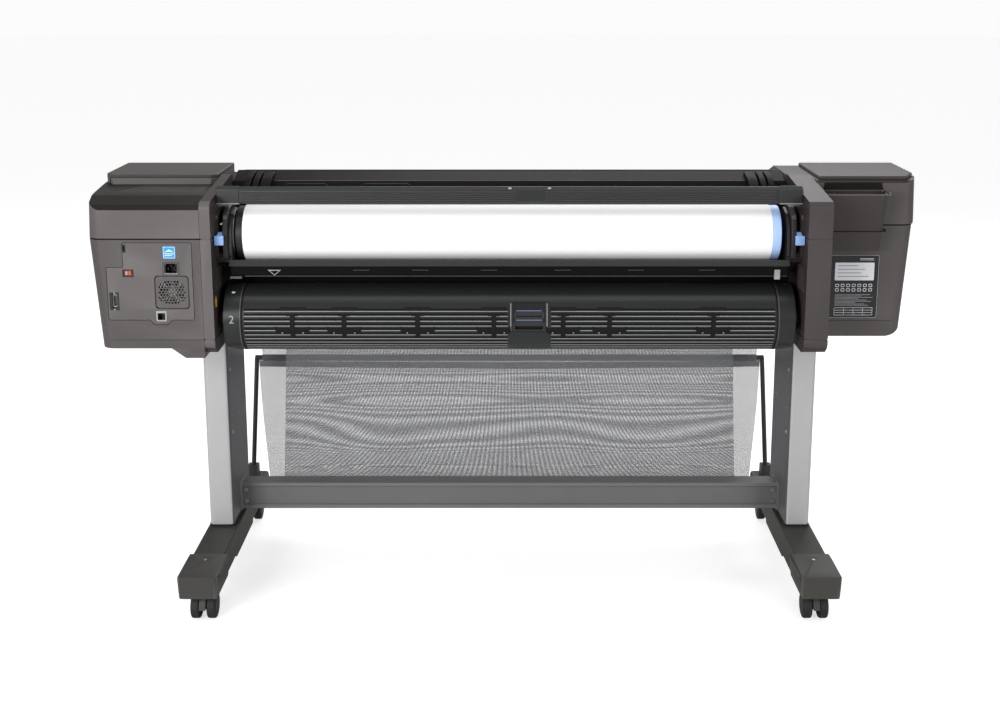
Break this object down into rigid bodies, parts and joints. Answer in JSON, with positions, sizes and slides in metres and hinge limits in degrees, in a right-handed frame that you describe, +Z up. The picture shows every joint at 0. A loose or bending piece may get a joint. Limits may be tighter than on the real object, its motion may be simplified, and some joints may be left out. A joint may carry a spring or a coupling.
{
  "type": "large format plotter",
  "caption": "Wheeled large format roll printer: end housings, two media rolls, drum roll cover, carriage, lids, T-foot stand and mesh collecting basket.",
  "frame": {"origin": "on the floor, under the middle of the bounding box", "axes": "+X along the rolls, +Y from the roll-loading side to the output side, +Z up"},
  "size_m": [1.8, 0.69, 0.998],
  "materials": {
    "dark_shell": "fine texture",
    "glossy_lid": "gloss",
    "bar_grey": "satin",
    "guide_grey": "satin",
    "leg_paint": "satin powder coat",
    "beam_paint": "satin powder coat",
    "foot_paint": "fine texture",
    "foot_plastic": "fine texture",
    "black_plastic": "matte",
    "black_tube": "satin",
    "mesh": "open mesh",
    "wheel": "matte",
    "blue_plastic": "satin",
    "paper": "matte paper",
    "steel": "brushed",
    "roller": "matte",
    "window": "smoked",
    "zinc": "plated",
    "label": "printed film",
    "board": "solder mask",
    "ink": "moulded"
  },
  "bodies": {
    "frame": {"feet": "foot_paint", "foot_covers": "foot_plastic", "legs": "leg_paint", "cross_beam": "beam_paint", "beam_brackets": "beam_paint", "basket_clips": "foot_plastic", "basket_tubes": "black_tube", "basket_fabric": "mesh", "cover_left_lower": "dark_shell", "cover_left_upper": "dark_shell", "cover_right_lower": "dark_shell", "cover_right_upper": "dark_shell", "document_pocket": "dark_shell", "arm_left": "dark_shell", "arm_right": "dark_shell", "lever_housings": "dark_shell", "guard_bar": "bar_grey", "top_deck": "dark_shell", "bay_guide": "guide_grey", "bay_rear_wall": "guide_grey", "side_plates": "zinc", "chassis_tray": "zinc", "platen": "black_plastic", "carriage_rail": "steel", "drive_belt": "roller", "front_apron": "dark_shell", "io_panel": "dark_shell", "fan_housing": "black_plastic", "power_inlet": "black_plastic", "data_sockets": "black_plastic", "labels": "label", "electronics": "board", "ink_cartridges": "ink"},
    "caster_swivel_rear_left": {"caster_swivel_rear_left": "black_plastic"},
    "caster_wheels_rear_left": {"caster_wheels_rear_left": "wheel"},
    "caster_swivel_rear_right": {"caster_swivel_rear_right": "black_plastic"},
    "caster_wheels_rear_right": {"caster_wheels_rear_right": "wheel"},
    "caster_swivel_front_left": {"caster_swivel_front_left": "black_plastic"},
    "caster_wheels_front_left": {"caster_wheels_front_left": "wheel"},
    "caster_swivel_front_right": {"caster_swivel_front_right": "black_plastic"},
    "caster_wheels_front_right": {"caster_wheels_front_right": "wheel"},
    "roll_1": {"roll1_spindle": "steel", "roll1_blue_hub": "blue_plastic", "roll1_media": "paper"},
    "roll_2": {"roll2_spindle": "steel", "roll2_media": "paper"},
    "roll_2_cover": {"roll2_cover": "bar_grey", "roll2_handle": "black_plastic"},
    "lever_left": {"lever_left": "blue_plastic"},
    "lever_right": {"lever_right": "blue_plastic"},
    "carriage": {"carriage": "black_plastic"},
    "feed_roller": {"feed_roller": "roller"},
    "pinch_rollers": {"pinch_rollers": "steel"},
    "window_lid": {"window_lid": "window"},
    "ink_lid_left": {"ink_lid_left": "glossy_lid"},
    "ink_lid_right": {"ink_lid_right": "glossy_lid"},
    "control_panel": {"control_panel": "glossy_lid"},
    "fan_rotor": {"fan_rotor": "black_plastic"},
    "power_rocker": {"power_rocker": "black_plastic"}
  },
  "joints": [
    {"name": "swivel_rear_left", "type": "hinge", "parent": "frame", "child": "caster_swivel_rear_left", "pos_m": [-0.689, -0.235, 0.08], "axis": [0, 0, 1], "continuous": true},
    {"name": "wheel_rear_left", "type": "hinge", "parent": "caster_swivel_rear_left", "child": "caster_wheels_rear_left", "pos_m": [-0.689, -0.251, 0.03], "axis": [1, 0, 0], "continuous": true},
    {"name": "swivel_rear_right", "type": "hinge", "parent": "frame", "child": "caster_swivel_rear_right", "pos_m": [0.689, -0.235, 0.08], "axis": [0, 0, 1], "continuous": true},
    {"name": "wheel_rear_right", "type": "hinge", "parent": "caster_swivel_rear_right", "child": "caster_wheels_rear_right", "pos_m": [0.689, -0.251, 0.03], "axis": [1, 0, 0], "continuous": true},
    {"name": "swivel_front_left", "type": "hinge", "parent": "frame", "child": "caster_swivel_front_left", "pos_m": [-0.689, 0.284, 0.08], "axis": [0, 0, 1], "continuous": true},
    {"name": "wheel_front_left", "type": "hinge", "parent": "caster_swivel_front_left", "child": "caster_wheels_front_left", "pos_m": [-0.689, 0.3, 0.03], "axis": [1, 0, 0], "continuous": true},
    {"name": "swivel_front_right", "type": "hinge", "parent": "frame", "child": "caster_swivel_front_right", "pos_m": [0.689, 0.284, 0.08], "axis": [0, 0, 1], "continuous": true},
    {"name": "wheel_front_right", "type": "hinge", "parent": "caster_swivel_front_right", "child": "caster_wheels_front_right", "pos_m": [0.689, 0.3, 0.03], "axis": [1, 0, 0], "continuous": true},
    {"name": "roll_1_spin", "type": "hinge", "parent": "frame", "child": "roll_1", "pos_m": [0, -0.235, 0.885], "axis": [1, 0, 0], "continuous": true},
    {"name": "roll_2_spin", "type": "hinge", "parent": "frame", "child": "roll_2", "pos_m": [0, -0.253, 0.705], "axis": [1, 0, 0], "continuous": true},
    {"name": "roll_2_cover_turn", "type": "hinge", "parent": "frame", "child": "roll_2_cover", "pos_m": [0, -0.253, 0.705], "axis": [1, 0, 0], "range_deg": [0, 100]},
    {"name": "lever_left_lift", "type": "hinge", "parent": "frame", "child": "lever_left", "pos_m": [-0.607, -0.235, 0.885], "axis": [-1, 0, 0], "range_deg": [0, 38]},
    {"name": "lever_right_lift", "type": "hinge", "parent": "frame", "child": "lever_right", "pos_m": [0.607, -0.235, 0.885], "axis": [-1, 0, 0], "range_deg": [0, 38]},
    {"name": "carriage_slide", "type": "slide", "parent": "frame", "child": "carriage", "axis": [1, 0, 0], "range_m": [-0.96, 0.04]},
    {"name": "feed_spin", "type": "hinge", "parent": "frame", "child": "feed_roller", "pos_m": [0, -0.06, 0.812], "axis": [1, 0, 0], "continuous": true},
    {"name": "pinch_spin", "type": "hinge", "parent": "frame", "child": "pinch_rollers", "pos_m": [0, -0.06, 0.8345], "axis": [1, 0, 0], "continuous": true},
    {"name": "window_open", "type": "hinge", "parent": "frame", "child": "window_lid", "pos_m": [0, -0.018, 0.984], "axis": [1, 0, 0], "range_deg": [0, 65]},
    {"name": "ink_lid_left_open", "type": "hinge", "parent": "frame", "child": "ink_lid_left", "pos_m": [-0.768, -0.149, 0.9906], "axis": [1, 0, 0], "range_deg": [0, 75]},
    {"name": "ink_lid_right_open", "type": "hinge", "parent": "frame", "child": "ink_lid_right", "pos_m": [0.784, -0.174, 0.9906], "axis": [1, 0, 0], "range_deg": [0, 75]},
    {"name": "panel_tilt", "type": "hinge", "parent": "frame", "child": "control_panel", "pos_m": [0.792, 0.229, 0.899], "axis": [-1, 0, 0], "range_deg": [0, 35]},
    {"name": "fan_spin", "type": "hinge", "parent": "frame", "child": "fan_rotor", "pos_m": [-0.703, -0.328, 0.779], "axis": [0, 1, 0], "continuous": true},
    {"name": "rocker_tip", "type": "hinge", "parent": "frame", "child": "power_rocker", "pos_m": [-0.7925, -0.3405, 0.82], "axis": [0, 0, 1], "range_deg": [0, 8]}
  ],
  "couplings": [
    {"joint": "pinch_spin", "follows": "feed_spin", "ratio": -2}
  ]
}
